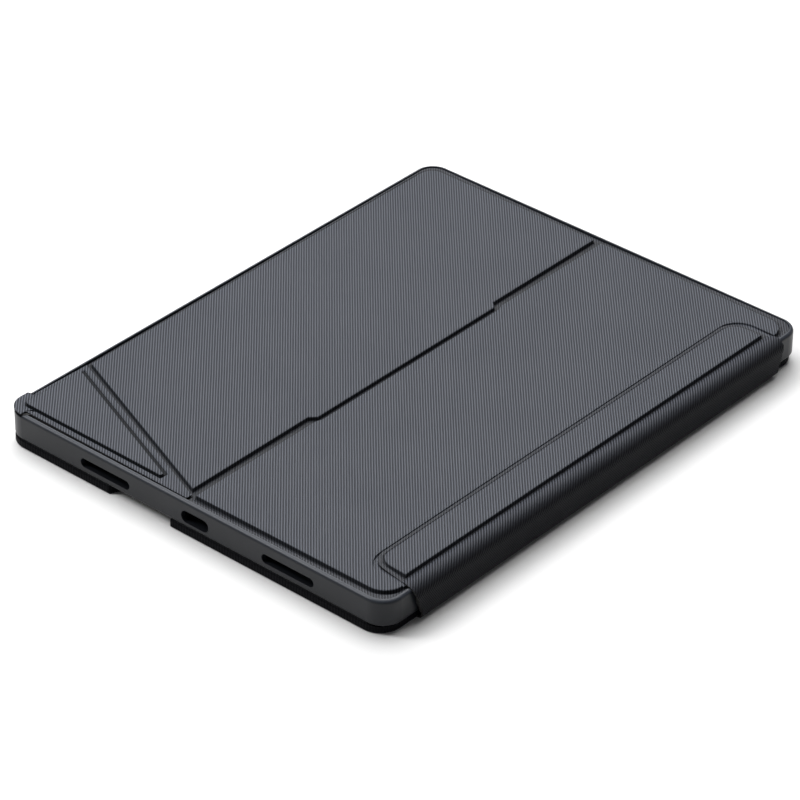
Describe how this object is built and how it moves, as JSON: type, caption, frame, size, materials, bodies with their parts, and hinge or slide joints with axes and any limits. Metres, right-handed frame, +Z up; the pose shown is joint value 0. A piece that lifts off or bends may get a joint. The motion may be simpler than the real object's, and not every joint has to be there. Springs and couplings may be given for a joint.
{
  "type": "tablet keyboard case",
  "caption": "Closed folio keyboard case with a ribbed cover, a moulded tablet shell, a folding kickstand panel with a loose corner, and a slim keyboard base.",
  "frame": {"origin": "on the base's resting face, under the centre of the tablet shell", "axes": "+X along the case's long side, towards the end with the charging port cut-out; +Y towards the spine; +Z up, out of the back cover"},
  "size_m": [0.2866, 0.2243, 0.0189],
  "materials": {
    "skin": "grey imitation leather with fine diagonal ribs",
    "lining": "dark grey microfibre",
    "board": "grey board stiffener",
    "pad": "thin closed-cell foam pad",
    "shell": "matte charcoal moulded shell",
    "deck": "matte black moulding",
    "key": "matte black key cap",
    "steel": "nickel plated",
    "battery": "foil pouch",
    "circuit": "green solder mask",
    "membrane": "printed film",
    "dome": "silicone",
    "switch": "switch slider",
    "light": "clear light guide"
  },
  "bodies": {
    "base": {"base_skin": "skin", "base_board": "board", "base_lining": "lining", "keyboard_tray": "deck", "keyboard_deck": "deck", "deck_screws": "steel", "battery": "battery", "circuit_board": "circuit", "key_membrane": "membrane", "rubber_domes": "dome", "charge_socket": "steel", "power_switch_case": "deck", "status_light": "light", "base_magnets": "steel"},
    "power_switch": {"power_switch": "switch"},
    "function_keys": {"function_keys": "key"},
    "number_keys": {"number_keys": "key"},
    "backspace_key": {"backspace_key": "key"},
    "tab_key": {"tab_key": "key"},
    "upper_letter_keys": {"upper_letter_keys": "key"},
    "backslash_key": {"backslash_key": "key"},
    "caps_lock_key": {"caps_lock_key": "key"},
    "middle_letter_keys": {"middle_letter_keys": "key"},
    "enter_key": {"enter_key": "key"},
    "left_shift_key": {"left_shift_key": "key"},
    "lower_letter_keys": {"lower_letter_keys": "key"},
    "right_shift_key": {"right_shift_key": "key"},
    "left_modifier_keys": {"left_modifier_keys": "key"},
    "space_bar": {"space_bar": "key"},
    "right_modifier_keys": {"right_modifier_keys": "key"},
    "arrow_keys": {"arrow_keys": "key"},
    "spine": {"spine_skin": "skin", "spine_board": "board", "spine_lining": "lining"},
    "shell": {"tablet_shell": "shell", "shell_lining": "lining", "shell_magnets": "steel", "near_board": "board", "near_pad": "pad", "near_skin": "skin", "flap_skin": "skin", "flap_board": "board", "flap_lining": "lining"},
    "kickstand": {"far_skin": "skin", "far_pad": "pad", "far_board": "board", "far_lining": "lining", "far_magnets": "steel"},
    "corner": {"corner_skin": "skin", "corner_pad": "pad", "corner_board": "board", "corner_lining": "lining", "corner_magnet": "steel"}
  },
  "joints": [
    {"name": "lower_crease", "type": "hinge", "parent": "base", "child": "spine", "pos_m": [0, 0.1109, 0.0026], "axis": [-1, 0, 0], "range_deg": [0, 90]},
    {"name": "upper_crease", "type": "hinge", "parent": "spine", "child": "shell", "pos_m": [0, 0.111, 0.0164], "axis": [-1, 0, 0], "range_deg": [0, 90]},
    {"name": "kickstand_fold", "type": "hinge", "parent": "shell", "child": "kickstand", "pos_m": [0, -0.0017, 0.01795], "axis": [-1, 0, 0], "range_deg": [0, 130]},
    {"name": "corner_fold", "type": "hinge", "parent": "kickstand", "child": "corner", "pos_m": [0.1346, -0.0052, 0.01795], "axis": [-0.3746, -0.9272, 0], "range_deg": [0, 60]},
    {"name": "power_switch_slide", "type": "slide", "parent": "base", "child": "power_switch", "axis": [0, 1, 0], "range_m": [0, 0.002]},
    {"name": "function_keys_press", "type": "slide", "parent": "base", "child": "function_keys", "axis": [0, 0, -1], "range_m": [0, 0.0011], "stiffness_N_per_m": 6000},
    {"name": "number_keys_press", "type": "slide", "parent": "base", "child": "number_keys", "axis": [0, 0, -1], "range_m": [0, 0.0011], "stiffness_N_per_m": 5200},
    {"name": "backspace_key_press", "type": "slide", "parent": "base", "child": "backspace_key", "axis": [0, 0, -1], "range_m": [0, 0.0011], "stiffness_N_per_m": 400},
    {"name": "tab_key_press", "type": "slide", "parent": "base", "child": "tab_key", "axis": [0, 0, -1], "range_m": [0, 0.0011], "stiffness_N_per_m": 400},
    {"name": "upper_letter_keys_press", "type": "slide", "parent": "base", "child": "upper_letter_keys", "axis": [0, 0, -1], "range_m": [0, 0.0011], "stiffness_N_per_m": 4800},
    {"name": "backslash_key_press", "type": "slide", "parent": "base", "child": "backslash_key", "axis": [0, 0, -1], "range_m": [0, 0.0011], "stiffness_N_per_m": 400},
    {"name": "caps_lock_key_press", "type": "slide", "parent": "base", "child": "caps_lock_key", "axis": [0, 0, -1], "range_m": [0, 0.0011], "stiffness_N_per_m": 400},
    {"name": "middle_letter_keys_press", "type": "slide", "parent": "base", "child": "middle_letter_keys", "axis": [0, 0, -1], "range_m": [0, 0.0011], "stiffness_N_per_m": 4400},
    {"name": "enter_key_press", "type": "slide", "parent": "base", "child": "enter_key", "axis": [0, 0, -1], "range_m": [0, 0.0011], "stiffness_N_per_m": 400},
    {"name": "left_shift_key_press", "type": "slide", "parent": "base", "child": "left_shift_key", "axis": [0, 0, -1], "range_m": [0, 0.0011], "stiffness_N_per_m": 400},
    {"name": "lower_letter_keys_press", "type": "slide", "parent": "base", "child": "lower_letter_keys", "axis": [0, 0, -1], "range_m": [0, 0.0011], "stiffness_N_per_m": 4000},
    {"name": "right_shift_key_press", "type": "slide", "parent": "base", "child": "right_shift_key", "axis": [0, 0, -1], "range_m": [0, 0.0011], "stiffness_N_per_m": 400},
    {"name": "left_modifier_keys_press", "type": "slide", "parent": "base", "child": "left_modifier_keys", "axis": [0, 0, -1], "range_m": [0, 0.0011], "stiffness_N_per_m": 1600},
    {"name": "space_bar_press", "type": "slide", "parent": "base", "child": "space_bar", "axis": [0, 0, -1], "range_m": [0, 0.0011], "stiffness_N_per_m": 400},
    {"name": "right_modifier_keys_press", "type": "slide", "parent": "base", "child": "right_modifier_keys", "axis": [0, 0, -1], "range_m": [0, 0.0011], "stiffness_N_per_m": 800},
    {"name": "arrow_keys_press", "type": "slide", "parent": "base", "child": "arrow_keys", "axis": [0, 0, -1], "range_m": [0, 0.0011], "stiffness_N_per_m": 1600}
  ]
}
